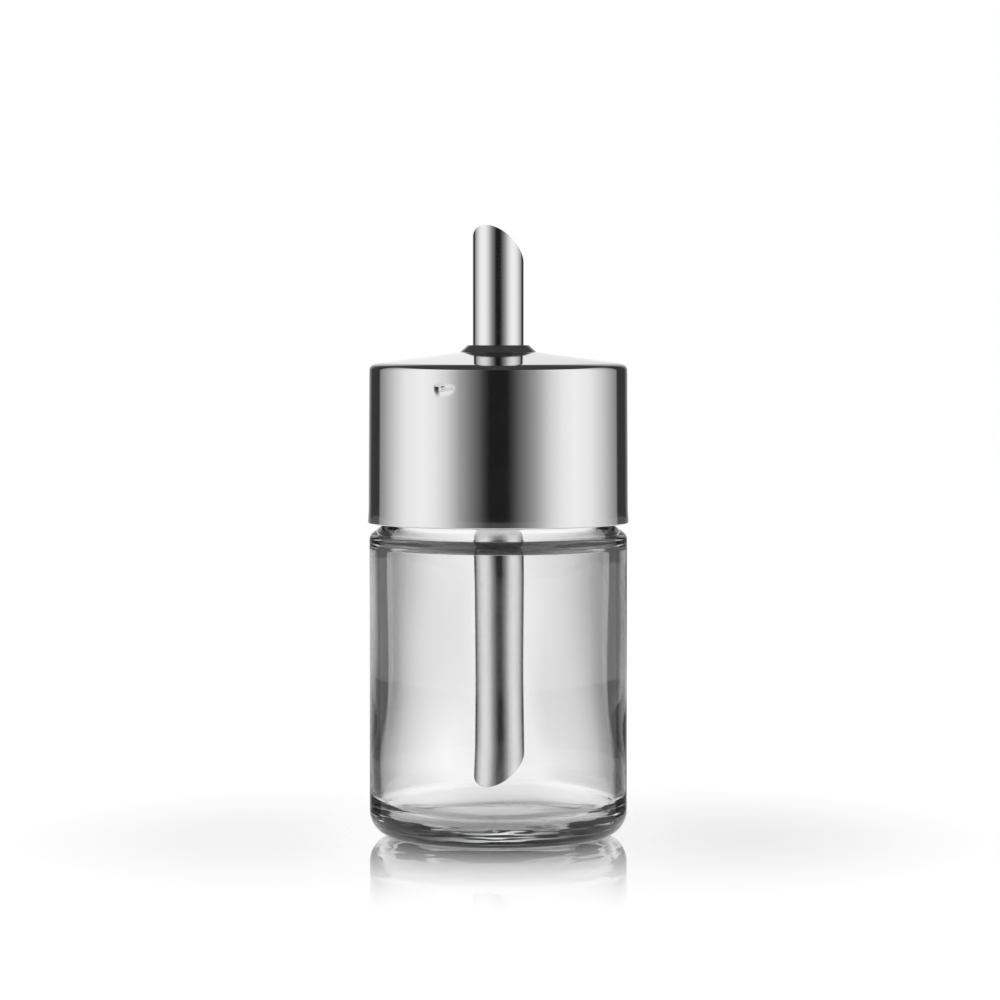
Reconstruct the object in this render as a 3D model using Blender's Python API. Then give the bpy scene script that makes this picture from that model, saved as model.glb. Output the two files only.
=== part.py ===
"""Sugar dispenser: a glass jar, a screw cap of drawn steel and a dosing tube with a flap in its mouth.

Units are metres, +Z is up, and the origin is the centre of the circle that the jar stands on.
+X points to the right of the front view and +Y away from it. Both slanted ends of the dosing
tube face MOUTH_AZIMUTH, so the mouth and its flap look to the right and to the back.
"""

from math import cos, pi, radians, sin, sqrt, tan

import bmesh
import bpy
from mathutils import Matrix, Vector

# Fits and mesh fineness
SEAT_GAP = 0.0003
PIN_GAP = 0.0001
OVERRUN = 0.0010
WELD_DISTANCE = 0.000001
ROUND_SIDES = 48
TUBE_SIDES = 36
WIRE_SIDES = 16
SMOOTH_ANGLE = radians(35)

# Glass jar, outside
JAR_RADIUS = 0.0300
JAR_SHOULDER_HEIGHT = 0.0701
FOOT_FILLET = 0.0060
FOOT_WIDTH = 0.0035
PUNT_DEPTH = 0.0009
PUNT_SLOPE_WIDTH = 0.0050
SHOULDER_SLOPE = radians(38)
SHOULDER_FILLET = 0.0020
NECK_HEIGHT = 0.0184
NECK_LIP = 0.0008

# Glass jar, inside: the pressed wall is thinner near the floor than above it
FLOOR_THICKNESS = 0.0045
FLOOR_FILLET = 0.0055
LOW_WALL = 0.0027
HIGH_WALL = 0.0044
LOW_WALL_TOP = 0.0150
HIGH_WALL_BOTTOM = 0.0390
NECK_WALL = 0.0032
INNER_SHOULDER_DROP = 0.0070

# Screw thread of the neck, whose ridges the solids leave out
THREAD_DEPTH = 0.0010
THREAD_GAP = 0.0004
THREAD_PITCH = 0.0030
THREAD_TURNS = 1.25

# Sealing ring on the rim of the neck
SEAL_THICKNESS = 0.0020
SEAL_INSET = 0.0002
SEAL_OVERHANG = 0.0006

# Drawn steel cap
CAP_SHEET = 0.0006
CAP_INSET = 0.00003
CAP_FLARE = 0.00019
RIM_FLARE = 0.00016
RIM_HEIGHT = 0.0030
RIM_ROUND = 0.0003
CAP_SHOULDER_GAP = 0.0029
CAP_WALL_HEIGHT = 0.03547
CAP_CORNER = 0.0014
DOME_EDGE_RADIUS = 0.0070
DOME_EDGE_SLOPE = radians(22)
DOME_SLOPE = radians(7.5)

# Conical collar drawn up around the tube
COLLAR_FOOT_RADIUS = 0.0089
COLLAR_TOP_RADIUS = 0.0071
COLLAR_HEIGHT = 0.00165
COLLAR_BORE_GAP = 0.00025

# Crimp dimples that lock the steel cap to its insert
DIMPLE_COUNT = 3
DIMPLE_AZIMUTH = radians(246.2)
DIMPLE_DROP = 0.00417
DIMPLE_WIDTH = 0.0060
DIMPLE_TALL = 0.0040
DIMPLE_DEPTH = 0.00062
DIMPLE_SKIN = 0.00055

# Moulded insert with the thread, the web over the seal and the hub around the tube
INSERT_RECESS = 0.0015
INSERT_TOP_DROP = 0.0002
INSERT_EDGE = 0.0008
INSERT_UPPER_WALL = 0.0020
SKIRT_WALL = 0.00107
INSERT_WEB = 0.0018
DIMPLE_GROOVE_DEPTH = 0.0009
DIMPLE_GROOVE_HEIGHT = 0.0052
SEAL_BEAD_HEIGHT = 0.0009
HUB_WALL = 0.0024
HUB_BELOW_WEB = 0.0031
RIB_COUNT = 6
RIB_THICKNESS = 0.0012
RIB_HEIGHT = 0.0065

# Dosing tube
TUBE_RADIUS = 0.0059
TUBE_WALL = 0.0005
TUBE_TIP_HEIGHT = 0.1422
TUBE_INLET_HEIGHT = 0.0115
MOUTH_AZIMUTH = radians(60)
CUT_SLOPE = radians(45)
TUBE_BEAD = 0.00085
TUBE_BEAD_HEIGHT = 0.0011

# Retaining ring pushed up the tube against the hub
RING_WIDTH = 0.0022
RING_SHEET = 0.0005
RING_DISH = 0.0006
RING_TOOTH_COUNT = 8
RING_SLOT_WIDTH = 0.0010
RING_SLOT_LENGTH = 0.0011

# Flap in the mouth and its pin
PIN_RADIUS = 0.0004
PIN_INSET = 0.0016
PIN_DEPTH = 0.0013
KNUCKLE_WALL = 0.0004
KNUCKLE_END_GAP = 0.00046
FLAP_SHEET = 0.0005
FLAP_EDGE_GAP = 0.00045
FLAP_STRAP_INSET = 0.0004
FLAP_STRAP_LENGTH = 0.0016
FLAP_TAPER_ANGLE = radians(68)
FLAP_STEP = 0.00005

# Radii that follow from the sizes above: the cap is as wide as the jar, and the neck fits the cap
CAP_RADIUS = JAR_RADIUS - CAP_INSET
INSERT_RADIUS = CAP_RADIUS - CAP_SHEET - SEAT_GAP
SKIRT_BORE = INSERT_RADIUS - SKIRT_WALL
NECK_RADIUS = SKIRT_BORE - THREAD_GAP - THREAD_DEPTH
NECK_BORE = NECK_RADIUS - NECK_WALL
TUBE_BORE = TUBE_RADIUS - TUBE_WALL
HUB_BORE = TUBE_RADIUS + SEAT_GAP
HUB_RADIUS = HUB_BORE + HUB_WALL
PIN_HOLE = PIN_RADIUS + PIN_GAP
KNUCKLE_RADIUS = PIN_HOLE + KNUCKLE_WALL
PIN_OFFSET = TUBE_BORE - PIN_INSET
KNUCKLE_LENGTH = 2 * (sqrt(TUBE_BORE**2 - (PIN_OFFSET + KNUCKLE_RADIUS)**2) - KNUCKLE_END_GAP)

# Heights that follow from the sizes above
NECK_TOP = JAR_SHOULDER_HEIGHT + NECK_HEIGHT
CAP_RISE = THREAD_PITCH * THREAD_TURNS
SEAL_BOTTOM = NECK_TOP + SEAT_GAP
SEAL_TOP = SEAL_BOTTOM + SEAL_THICKNESS
WEB_BOTTOM = SEAL_TOP + SEAT_GAP
WEB_TOP = WEB_BOTTOM + INSERT_WEB
CAP_BASE = JAR_SHOULDER_HEIGHT + CAP_SHOULDER_GAP
CAP_CORNER_BOTTOM = CAP_BASE + CAP_WALL_HEIGHT
DIMPLE_Z = CAP_CORNER_BOTTOM - DIMPLE_DROP
DIMPLE_BAND = DIMPLE_TALL / 2 + CAP_SHEET + SEAT_GAP
HUB_BOTTOM = WEB_BOTTOM - HUB_BELOW_WEB
CUT_RUN = TUBE_RADIUS * tan(CUT_SLOPE)
MOUTH_CENTRE = TUBE_TIP_HEIGHT - CUT_RUN
INLET_CENTRE = TUBE_INLET_HEIGHT + CUT_RUN
PIN_HEIGHT = MOUTH_CENTRE - PIN_OFFSET * tan(CUT_SLOPE) - PIN_DEPTH


def clear_scene():
    """Remove whatever the file opened with."""
    for thing in list(bpy.data.objects):
        bpy.data.objects.remove(thing, do_unlink=True)


def material(name, colour, metallic, roughness, transmission=0.0, ior=1.5):
    """Make one Principled material."""
    made = bpy.data.materials.new(name)
    made.use_nodes = True
    shader = made.node_tree.nodes["Principled BSDF"]
    shader.inputs["Base Color"].default_value = (*colour, 1.0)
    shader.inputs["Metallic"].default_value = metallic
    shader.inputs["Roughness"].default_value = roughness
    shader.inputs["Transmission Weight"].default_value = transmission
    shader.inputs["IOR"].default_value = ior
    return made


def arc(centre, radius, start, end, steps):
    """Points (radius, height) along an arc of a profile, both ends included."""
    angles = [start + (end - start) * step / steps for step in range(steps + 1)]
    return [(centre[0] + radius * cos(angle), centre[1] + radius * sin(angle)) for angle in angles]


def ease(start, end, steps):
    """Points of a smooth S from start to end, upright at both ends, with both ends included."""
    points = []
    for step in range(steps + 1):
        share = step / steps
        swing = (1 - cos(pi * share)) / 2
        points.append((start[0] + (end[0] - start[0]) * swing, start[1] + (end[1] - start[1]) * share))
    return points


def offset_path(points, distance):
    """Shift an open profile sideways to its right by distance, mitred at its corners."""
    sides = []
    for first, second in zip(points, points[1:]):
        along = (Vector(second) - Vector(first)).normalized()
        sides.append(Vector((along.y, -along.x)))
    shifted = []
    for index, point in enumerate(points):
        before = sides[max(index - 1, 0)]
        after = sides[min(index, len(sides) - 1)]
        mitre = (before + after).normalized()
        shifted.append(tuple(Vector(point) + mitre * (distance / mitre.dot(after))))
    return shifted


def new_object(name, mesh_builder, finish, place=None):
    """Turn a bmesh into a named object, shaded smooth but for its sharp edges."""
    mesh = bpy.data.meshes.new(name)
    mesh_builder.to_mesh(mesh)
    mesh_builder.free()
    mesh.shade_smooth()
    mesh.set_sharp_from_angle(angle=SMOOTH_ANGLE)
    if finish is not None:
        mesh.materials.append(finish)
    made = bpy.data.objects.new(name, mesh)
    if place is not None:
        made.matrix_world = place
    bpy.context.collection.objects.link(made)
    return made


def turned(profile, sides, closed=True):
    """Spin a profile of (radius, height) points once around Z."""
    builder = bmesh.new()
    points = [builder.verts.new((radius, 0, height)) for radius, height in profile]
    pairs = list(zip(points, points[1:]))
    if closed:
        pairs.append((points[-1], points[0]))
    edges = [builder.edges.new(pair) for pair in pairs]
    bmesh.ops.spin(builder, geom=points + edges, axis=(0, 0, 1), cent=(0, 0, 0), angle=2 * pi,
                   steps=sides, use_merge=True, use_duplicate=False)
    bmesh.ops.remove_doubles(builder, verts=builder.verts[:], dist=WELD_DISTANCE)
    bmesh.ops.recalc_face_normals(builder, faces=builder.faces[:])
    return builder


def rod(radius, length, sides):
    """A capped cylinder along X, centred on the origin."""
    builder = bmesh.new()
    bmesh.ops.create_cone(builder, cap_ends=True, segments=sides, radius1=radius, radius2=radius,
                          depth=length, matrix=Matrix.Rotation(pi / 2, 4, "Y"))
    return builder


def block(builder, size, place):
    """Add a box of the given size to a bmesh, at the given matrix."""
    stretch = Matrix.Diagonal((*size, 1))
    bmesh.ops.create_cube(builder, size=1, matrix=place @ stretch)


def boolean(target, tool, operation):
    """Leave a live Boolean on target, and show its tool only as a wire guide."""
    step = target.modifiers.new(tool.name, "BOOLEAN")
    step.operation = operation
    step.solver = "EXACT"
    step.object = tool
    tool.hide_render = True
    tool.display_type = "WIRE"


def mouth_frame(offset, height):
    """Frame at a point of the tube: X along the flap's pin, Y towards the way the mouth faces."""
    turn = Matrix.Rotation(MOUTH_AZIMUTH - pi / 2, 4, "Z")
    return turn @ Matrix.Translation((0, offset, height))


# The jar is one turned profile, read up its outside and down its inside

def jar_profile():
    """Outline of the glass from the centre of its base, round the rim and back to its floor."""
    foot_outer = JAR_RADIUS - FOOT_FILLET
    foot_inner = foot_outer - FOOT_WIDTH
    outside = [(0, PUNT_DEPTH), (foot_inner - PUNT_SLOPE_WIDTH, PUNT_DEPTH), (foot_inner, 0)]
    outside += arc((foot_outer, FOOT_FILLET), FOOT_FILLET, -pi / 2, 0, 6)
    setback = SHOULDER_FILLET * tan((pi / 2 - SHOULDER_SLOPE) / 2)
    fillet_centre = (JAR_RADIUS - SHOULDER_FILLET, JAR_SHOULDER_HEIGHT - setback)
    outside += arc(fillet_centre, SHOULDER_FILLET, 0, pi / 2 - SHOULDER_SLOPE, 4)
    shoulder_rise = (JAR_RADIUS - NECK_RADIUS) * tan(SHOULDER_SLOPE)
    outside.append((NECK_RADIUS, JAR_SHOULDER_HEIGHT + shoulder_rise))
    outside += arc((NECK_RADIUS - NECK_LIP, NECK_TOP - NECK_LIP), NECK_LIP, 0, pi / 2, 3)
    inside = arc((NECK_BORE + NECK_LIP, NECK_TOP - NECK_LIP), NECK_LIP, pi / 2, pi, 3)
    high_bore = JAR_RADIUS - HIGH_WALL
    low_bore = JAR_RADIUS - LOW_WALL
    inside += ease((NECK_BORE, JAR_SHOULDER_HEIGHT + shoulder_rise),
                   (high_bore, JAR_SHOULDER_HEIGHT - INNER_SHOULDER_DROP), 6)
    inside += ease((high_bore, HIGH_WALL_BOTTOM), (low_bore, LOW_WALL_TOP), 6)
    inside += arc((low_bore - FLOOR_FILLET, FLOOR_THICKNESS + FLOOR_FILLET), FLOOR_FILLET, 0, -pi / 2, 5)
    inside.append((0, FLOOR_THICKNESS))
    return outside + inside


def make_jar(finish):
    """Pressed glass jar with a thick floor, a raised base and a threaded neck."""
    return new_object("glass_jar", turned(jar_profile(), ROUND_SIDES, closed=False), finish)


def make_seal(finish):
    """Flat ring on the rim of the neck. It stays loose between the web and the bead of the insert."""
    inner = NECK_BORE + SEAL_INSET
    outer = NECK_RADIUS + SEAL_OVERHANG
    profile = [(inner, SEAL_BOTTOM), (outer, SEAL_BOTTOM), (outer, SEAL_TOP), (inner, SEAL_TOP)]
    return new_object("sealing_ring", turned(profile, ROUND_SIDES), finish)


# The cap is drawn from one sheet: wall, dome and collar share its thickness

def cap_outside():
    """Outer face of the sheet, from the rim up the wall and over the dome to the collar's hole."""
    rim_radius = CAP_RADIUS + CAP_FLARE + RIM_FLARE
    points = arc((rim_radius - RIM_ROUND, CAP_BASE + RIM_ROUND), RIM_ROUND, -pi / 2, 0, 3)
    wall_bottom = Vector((CAP_RADIUS + CAP_FLARE, CAP_BASE + RIM_HEIGHT))
    wall_top = Vector((CAP_RADIUS, CAP_CORNER_BOTTOM))
    points.append(tuple(wall_bottom))
    for height in (DIMPLE_Z - DIMPLE_BAND, DIMPLE_Z + DIMPLE_BAND):
        share = (height - wall_bottom.y) / (wall_top.y - wall_bottom.y)
        points.append(tuple(wall_bottom.lerp(wall_top, share)))
    corner_centre = Vector((CAP_RADIUS - CAP_CORNER, CAP_CORNER_BOTTOM))
    corner_end = pi / 2 - DOME_EDGE_SLOPE
    points += arc(corner_centre, CAP_CORNER, 0, corner_end, 4)
    towards_corner = Vector((cos(corner_end), sin(corner_end)))
    edge_centre = corner_centre - towards_corner * (DOME_EDGE_RADIUS - CAP_CORNER)
    points += arc(edge_centre, DOME_EDGE_RADIUS, corner_end, pi / 2 - DOME_SLOPE, 3)[1:]
    foot = (COLLAR_FOOT_RADIUS, points[-1][1] + (points[-1][0] - COLLAR_FOOT_RADIUS) * tan(DOME_SLOPE))
    top = foot[1] + COLLAR_HEIGHT
    return points + [foot, (COLLAR_TOP_RADIUS, top), (TUBE_RADIUS + COLLAR_BORE_GAP, top)]


def collar_foot_height():
    """Height of the outer face where the dome meets the collar."""
    return next(height for radius, height in cap_outside() if radius == COLLAR_FOOT_RADIUS)


def dome_underside():
    """Height of the sheet's inner face where the hub meets the dome."""
    return collar_foot_height() - CAP_SHEET / cos(DOME_SLOPE)


def cap_profile():
    """Closed outline of the sheet."""
    outside = cap_outside()
    inside = offset_path(outside[3:], -CAP_SHEET)
    rim_inner = (inside[0][0], CAP_BASE)
    return outside + inside[::-1] + [rim_inner]


def dimple_group(name, radius, depth, margin):
    """One flat ellipsoid for each crimp dimple, joined in a single guide object."""
    builder = bmesh.new()
    stretch = Matrix.Diagonal((depth, DIMPLE_WIDTH / 2 + margin, DIMPLE_TALL / 2 + margin, 1))
    poles_outward = Matrix.Rotation(pi / 2, 4, "Y")
    for index in range(DIMPLE_COUNT):
        turn = Matrix.Rotation(DIMPLE_AZIMUTH + 2 * pi * index / DIMPLE_COUNT, 4, "Z")
        place = turn @ Matrix.Translation((radius, 0, DIMPLE_Z)) @ stretch @ poles_outward
        bmesh.ops.create_uvsphere(builder, u_segments=14, v_segments=8, radius=1, matrix=place)
    return new_object(name, builder, None)


def make_cap(finish):
    """Steel cap with its collar, its flared rim and the dimples pressed into its wall."""
    shell = new_object("cap_shell", turned(cap_profile(), ROUND_SIDES), finish)
    skin = dimple_group("dimple_backs", CAP_RADIUS - CAP_SHEET, DIMPLE_SKIN, CAP_SHEET)
    dent = dimple_group("dimple_dents", CAP_RADIUS, DIMPLE_DEPTH, 0)
    boolean(shell, skin, "UNION")
    boolean(shell, dent, "DIFFERENCE")
    return shell


# The insert carries the thread, traps the seal and holds the tube in its hub

def insert_profile():
    """Closed outline of the moulding: outer wall, skirt, bead, web and hub."""
    hub_top = dome_underside() - SEAT_GAP
    bottom = CAP_BASE + INSERT_RECESS
    top = CAP_CORNER_BOTTOM - INSERT_TOP_DROP
    groove_bottom = DIMPLE_Z - DIMPLE_GROOVE_HEIGHT / 2
    groove_top = DIMPLE_Z + DIMPLE_GROOVE_HEIGHT / 2
    groove_radius = INSERT_RADIUS - DIMPLE_GROOVE_DEPTH
    bead_bore = NECK_RADIUS + SEAT_GAP
    bead_top = SEAL_BOTTOM - CAP_RISE - SEAT_GAP
    bead_bottom = bead_top - SEAL_BEAD_HEIGHT
    bead_foot = bead_bottom - (SKIRT_BORE - bead_bore)
    upper_bore = INSERT_RADIUS - INSERT_UPPER_WALL
    outer_wall = [
        (INSERT_RADIUS, bottom),
        (INSERT_RADIUS, groove_bottom),
        (groove_radius, groove_bottom + DIMPLE_GROOVE_DEPTH),
        (groove_radius, groove_top - DIMPLE_GROOVE_DEPTH),
        (INSERT_RADIUS, groove_top),
        (INSERT_RADIUS, top - INSERT_EDGE),
        (INSERT_RADIUS - INSERT_EDGE, top),
    ]
    hollow_top = [(upper_bore, top), (upper_bore, WEB_TOP), (HUB_RADIUS, WEB_TOP), (HUB_RADIUS, hub_top)]
    hub = [(HUB_BORE, hub_top), (HUB_BORE, HUB_BOTTOM), (HUB_RADIUS, HUB_BOTTOM), (HUB_RADIUS, WEB_BOTTOM)]
    skirt = [
        (SKIRT_BORE, WEB_BOTTOM),
        (SKIRT_BORE, bead_top),
        (bead_bore, bead_top),
        (bead_bore, bead_bottom),
        (SKIRT_BORE, bead_foot),
        (SKIRT_BORE, bottom),
    ]
    return outer_wall + hollow_top + hub + skirt


def make_insert(finish):
    """Moulded inner cap, with ribs above its web that brace the hub."""
    insert = new_object("thread_insert", turned(insert_profile(), ROUND_SIDES), finish)
    inner = HUB_RADIUS - HUB_WALL / 2
    outer = INSERT_RADIUS - INSERT_UPPER_WALL / 2
    bottom = WEB_TOP - INSERT_WEB / 2
    top = WEB_TOP + RIB_HEIGHT
    builder = bmesh.new()
    for index in range(RIB_COUNT):
        turn = Matrix.Rotation(DIMPLE_AZIMUTH + 2 * pi * index / RIB_COUNT, 4, "Z")
        middle = Matrix.Translation(((inner + outer) / 2, 0, (bottom + top) / 2))
        block(builder, (outer - inner, RIB_THICKNESS, top - bottom), turn @ middle)
    ribs = new_object("insert_ribs", builder, None)
    boolean(insert, ribs, "UNION")
    return insert


# The tube, its retaining ring, and the flap that closes its mouth

def slanted_ring(builder, radius, centre, slope):
    """Ring of tube vertices that falls towards the mouth's side by the given slope."""
    ring = []
    for index in range(TUBE_SIDES):
        angle = 2 * pi * index / TUBE_SIDES
        height = centre - radius * cos(angle - MOUTH_AZIMUTH) * slope
        ring.append(builder.verts.new((radius * cos(angle), radius * sin(angle), height)))
    return ring


def make_tube(finish):
    """Steel tube cut at a slant at both ends, with a rolled bead that rests on the hub."""
    bead_middle = dome_underside() + TUBE_BEAD_HEIGHT / 2
    bead_steps = 4
    slope = tan(CUT_SLOPE)
    builder = bmesh.new()
    rings = [slanted_ring(builder, TUBE_RADIUS, INLET_CENTRE, -slope)]
    for step in range(bead_steps + 1):
        angle = pi * step / bead_steps - pi / 2
        radius = TUBE_RADIUS + TUBE_BEAD * cos(angle)
        rings.append(slanted_ring(builder, radius, bead_middle + TUBE_BEAD_HEIGHT / 2 * sin(angle), 0))
    rings.append(slanted_ring(builder, TUBE_RADIUS, MOUTH_CENTRE, slope))
    rings.append(slanted_ring(builder, TUBE_BORE, MOUTH_CENTRE, slope))
    rings.append(slanted_ring(builder, TUBE_BORE, INLET_CENTRE, -slope))
    for lower, upper in zip(rings, rings[1:] + rings[:1]):
        for index in range(TUBE_SIDES):
            following = (index + 1) % TUBE_SIDES
            builder.faces.new((lower[index], lower[following], upper[following], upper[index]))
    bmesh.ops.recalc_face_normals(builder, faces=builder.faces[:])
    tube = new_object("dosing_tube", builder, finish)
    hole = new_object("pin_hole", rod(PIN_HOLE, 2 * (TUBE_RADIUS + OVERRUN), WIRE_SIDES), None,
                      mouth_frame(PIN_OFFSET, PIN_HEIGHT))
    boolean(tube, hole, "DIFFERENCE")
    return tube


def make_tube_ring(finish):
    """Dished spring ring under the hub, with slots that part its teeth."""
    top = HUB_BOTTOM - SEAT_GAP
    bore = TUBE_RADIUS + SEAT_GAP
    outer = bore + RING_WIDTH
    profile = [(bore, top - RING_DISH), (outer, top), (outer, top - RING_SHEET),
               (bore, top - RING_DISH - RING_SHEET)]
    ring = new_object("tube_ring", turned(profile, TUBE_SIDES), finish)
    builder = bmesh.new()
    tall = 2 * (RING_DISH + RING_SHEET)
    for index in range(RING_TOOTH_COUNT):
        turn = Matrix.Rotation(2 * pi * (index + 0.5) / RING_TOOTH_COUNT, 4, "Z")
        middle = Matrix.Translation((bore + (RING_SLOT_LENGTH - OVERRUN) / 2, 0, top - tall / 4))
        block(builder, (RING_SLOT_LENGTH + OVERRUN, RING_SLOT_WIDTH, tall), turn @ middle)
    slots = new_object("ring_slots", builder, None)
    boolean(ring, slots, "DIFFERENCE")
    return ring


def make_flap(finish):
    """Oval steel flap that fills the slanted mouth and turns on its rolled knuckle."""
    lean = CUT_SLOPE
    plate_height = KNUCKLE_RADIUS - FLAP_STEP - FLAP_SHEET / 2
    reach = TUBE_BORE - FLAP_EDGE_GAP
    middle = (PIN_OFFSET + plate_height * sin(lean)) / cos(lean)
    strap = KNUCKLE_LENGTH / 2 - FLAP_STRAP_INSET
    outline = [(-strap, FLAP_STRAP_LENGTH), (-strap, 0), (strap, 0), (strap, FLAP_STRAP_LENGTH)]
    steps = 24
    for step in range(steps + 1):
        angle = FLAP_TAPER_ANGLE + (2 * pi - 2 * FLAP_TAPER_ANGLE) * step / steps
        outline.append((reach * sin(angle), middle - reach * cos(angle) / cos(lean)))
    builder = bmesh.new()
    face = builder.faces.new([builder.verts.new((across, -along, 0)) for across, along in outline])
    grown = bmesh.ops.extrude_face_region(builder, geom=[face])
    risen = [item for item in grown["geom"] if isinstance(item, bmesh.types.BMVert)]
    bmesh.ops.translate(builder, verts=risen, vec=(0, 0, FLAP_SHEET))
    bmesh.ops.recalc_face_normals(builder, faces=builder.faces[:])
    bmesh.ops.translate(builder, verts=builder.verts[:], vec=(0, 0, plate_height - FLAP_SHEET / 2))
    bmesh.ops.rotate(builder, verts=builder.verts[:], cent=(0, 0, 0), matrix=Matrix.Rotation(-lean, 3, "X"))
    place = mouth_frame(PIN_OFFSET, PIN_HEIGHT)
    flap = new_object("mouth_flap", builder, finish, place)
    knuckle = new_object("knuckle_roll", rod(KNUCKLE_RADIUS, KNUCKLE_LENGTH, WIRE_SIDES), None, place)
    bore = new_object("knuckle_bore", rod(PIN_HOLE, KNUCKLE_LENGTH + OVERRUN, WIRE_SIDES), None, place)
    boolean(flap, knuckle, "UNION")
    boolean(flap, bore, "DIFFERENCE")
    return flap


def make_pin(finish):
    """Wire pin across the mouth, ground flush with the outside of the tube."""
    place = mouth_frame(PIN_OFFSET, PIN_HEIGHT)
    pin = new_object("flap_pin", rod(PIN_RADIUS, 2 * TUBE_RADIUS, WIRE_SIDES), finish, place)
    low = PIN_HEIGHT - PIN_DEPTH
    high = PIN_HEIGHT + PIN_DEPTH
    drum = turned([(0, low), (TUBE_RADIUS, low), (TUBE_RADIUS, high), (0, high)], TUBE_SIDES, closed=False)
    envelope = new_object("pin_envelope", drum, None)
    boolean(pin, envelope, "INTERSECT")
    return pin


def build():
    """Make every piece of the dispenser in its place."""
    clear_scene()
    glass = material("pressed_clear_glass", (0.93, 0.95, 0.95), 0.0, 0.02, transmission=1.0, ior=1.52)
    steel = material("polished_drawn_steel", (0.62, 0.62, 0.61), 1.0, 0.08)
    tube_steel = material("polished_steel_tube", (0.64, 0.64, 0.63), 1.0, 0.07)
    spring_steel = material("satin_spring_steel", (0.45, 0.45, 0.46), 1.0, 0.30)
    moulded = material("moulded_polypropylene", (0.86, 0.86, 0.84), 0.0, 0.40)
    silicone = material("clear_silicone", (0.80, 0.80, 0.78), 0.0, 0.50)
    make_jar(glass)
    make_seal(silicone)
    make_cap(steel)
    make_insert(moulded)
    make_tube(tube_steel)
    make_tube_ring(spring_steel)
    make_flap(tube_steel.copy())
    make_pin(spring_steel.copy())


build()
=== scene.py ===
# %% [markdown]
# # A glass sugar dispenser with a steel cap, dressed in Blender
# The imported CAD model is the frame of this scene: its solids fix every size and every joint. Each
# cell below looks at one piece of the real dispenser, builds it finer than the solid and gives it
# its real finish. All lengths are written in millimetres and are turned to metres by `MM`.

# %% Load the frame
from functools import partial
from math import atan2, cos, degrees, pi, radians, sin, sqrt, tan

import bmesh
import bpy
import numpy as np
from mathutils import Matrix, Vector


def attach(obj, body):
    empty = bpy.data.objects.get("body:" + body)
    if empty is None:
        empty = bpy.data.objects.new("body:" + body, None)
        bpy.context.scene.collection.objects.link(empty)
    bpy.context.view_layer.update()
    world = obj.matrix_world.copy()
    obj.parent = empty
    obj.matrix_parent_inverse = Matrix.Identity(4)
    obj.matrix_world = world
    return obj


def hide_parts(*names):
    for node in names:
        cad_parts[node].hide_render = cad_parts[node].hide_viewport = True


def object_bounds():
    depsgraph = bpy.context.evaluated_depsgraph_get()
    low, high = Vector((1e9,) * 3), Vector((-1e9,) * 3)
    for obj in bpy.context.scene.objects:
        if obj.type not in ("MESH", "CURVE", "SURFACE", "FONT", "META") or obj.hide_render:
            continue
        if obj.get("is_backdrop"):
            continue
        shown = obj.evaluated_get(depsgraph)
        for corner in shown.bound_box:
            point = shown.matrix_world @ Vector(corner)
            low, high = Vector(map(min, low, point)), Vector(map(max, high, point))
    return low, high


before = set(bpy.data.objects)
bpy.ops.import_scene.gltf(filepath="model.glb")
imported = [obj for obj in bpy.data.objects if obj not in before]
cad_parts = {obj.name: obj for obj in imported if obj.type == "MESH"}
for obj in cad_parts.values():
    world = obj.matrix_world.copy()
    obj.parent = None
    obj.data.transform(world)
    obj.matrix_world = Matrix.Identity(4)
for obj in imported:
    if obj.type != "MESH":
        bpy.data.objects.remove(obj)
cad_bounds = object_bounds()
MM = 0.001
print("nodes:", ", ".join(sorted(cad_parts)))

# %% [markdown]
# ## Helpers
# A few small functions carry the whole file. One turns a hex colour, as a designer would write it,
# to the linear values that Blender's shaders work in. The others add a node with its settings and
# links in one line, so that a node tree reads from top to bottom like a recipe.

# %% Colour and node helpers
def hex_colour(code):
    """Linear RGBA of an sRGB hex code."""
    linear = []
    for start in (1, 3, 5):
        part = int(code[start:start + 2], 16) / 255
        linear.append(part / 12.92 if part <= 0.04045 else ((part + 0.055) / 1.055) ** 2.4)
    return (*linear, 1.0)


def add_node(tree, kind, inputs=None, **settings):
    """Add a node; inputs maps a socket's name or number to a value or to another node's output."""
    node = tree.nodes.new(kind)
    for name, value in settings.items():
        setattr(node, name, value)
    for name, value in (inputs or {}).items():
        socket = node.inputs[name]
        if isinstance(value, bpy.types.NodeSocket):
            tree.links.new(value, socket)
        else:
            socket.default_value = value
    return node


def maths(tree, operation, *values):
    """Result of a Math node; each value is a number or another node's output."""
    return add_node(tree, "ShaderNodeMath", dict(enumerate(values)), operation=operation).outputs[0]


def remap(tree, value, low, high, low_to=0.0, high_to=1.0, curve="LINEAR"):
    """Result of a Map Range node."""
    return add_node(tree, "ShaderNodeMapRange", {
        "Value": value, "From Min": low, "From Max": high, "To Min": low_to, "To Max": high_to},
        interpolation_type=curve).outputs[0]


def blend(tree, share, first, second):
    """Result of a Mix node between two numbers."""
    return add_node(tree, "ShaderNodeMix", {"Factor": share, "A": first, "B": second}).outputs["Result"]


def parts_of(tree, vector):
    """X, Y and Z of a vector."""
    return add_node(tree, "ShaderNodeSeparateXYZ", {0: vector}).outputs


def put_in_scene(name, data):
    """A new object, linked to the scene."""
    made = bpy.data.objects.new(name, data)
    bpy.context.scene.collection.objects.link(made)
    return made


print("polished steel in linear light:", [round(part, 3) for part in hex_colour("#CDCDCD")[:3]])

# %% [markdown]
# ## Camera
# Product photographers stand far back and use a long lens, so that the rim of the cap is only a
# thin ellipse. The eye is at 123.5 mm, between the dome of the cap and the slanted spout, 950 mm
# in front of the axis, and it looks down a little. A long lens in the same place gives the same
# ellipses, so no lens shift is needed.

# %% Camera
EYE = Vector((0.4, -950.0, 123.5)) * MM
AIM = Vector((0.4, 0.0, 78.26)) * MM
SENSOR = 36.0
VIEW_WIDTH = 232.7 * MM

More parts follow.
